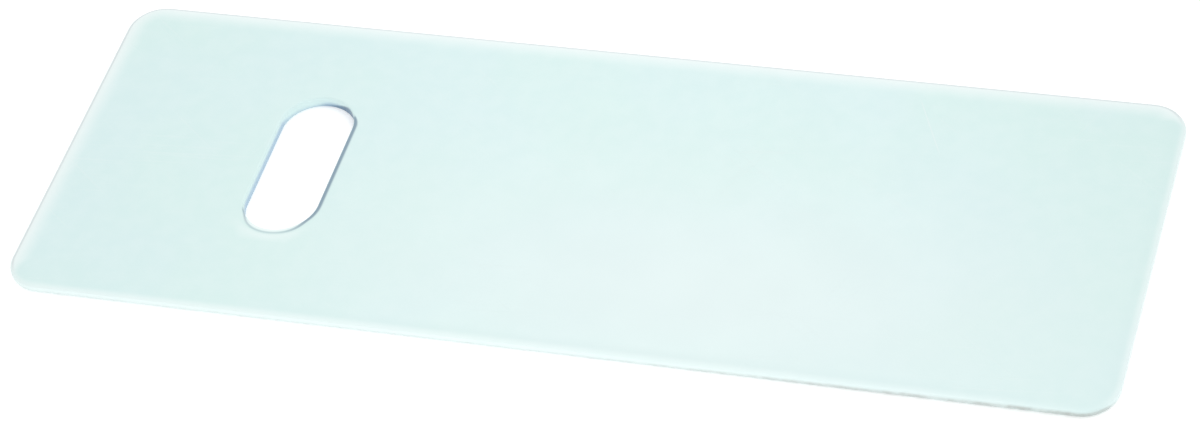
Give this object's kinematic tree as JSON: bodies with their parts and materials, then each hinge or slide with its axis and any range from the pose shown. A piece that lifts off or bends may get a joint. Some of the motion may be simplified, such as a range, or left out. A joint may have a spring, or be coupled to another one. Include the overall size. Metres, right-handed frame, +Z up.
{
  "type": "mortar hawk",
  "caption": "Flat oblong plastic board with rounded corners and edges and a hand slot near one end, for holding and offering up mortar beside the work.",
  "frame": {"origin": "centre of the board's rectangular footprint, on the surface that it lies on", "axes": "+X along the board's length, from the slot end to the plain end; +Y across its width; +Z up, out of the mortar face"},
  "size_m": [0.55, 0.2, 0.0065],
  "materials": {
    "board_plastic": "pale aqua, milky translucent moulded plastic with a satin face, softly glowing where it thins at the rounded edges"
  },
  "bodies": {
    "root": {"board": "board_plastic"}
  },
  "joints": []
}
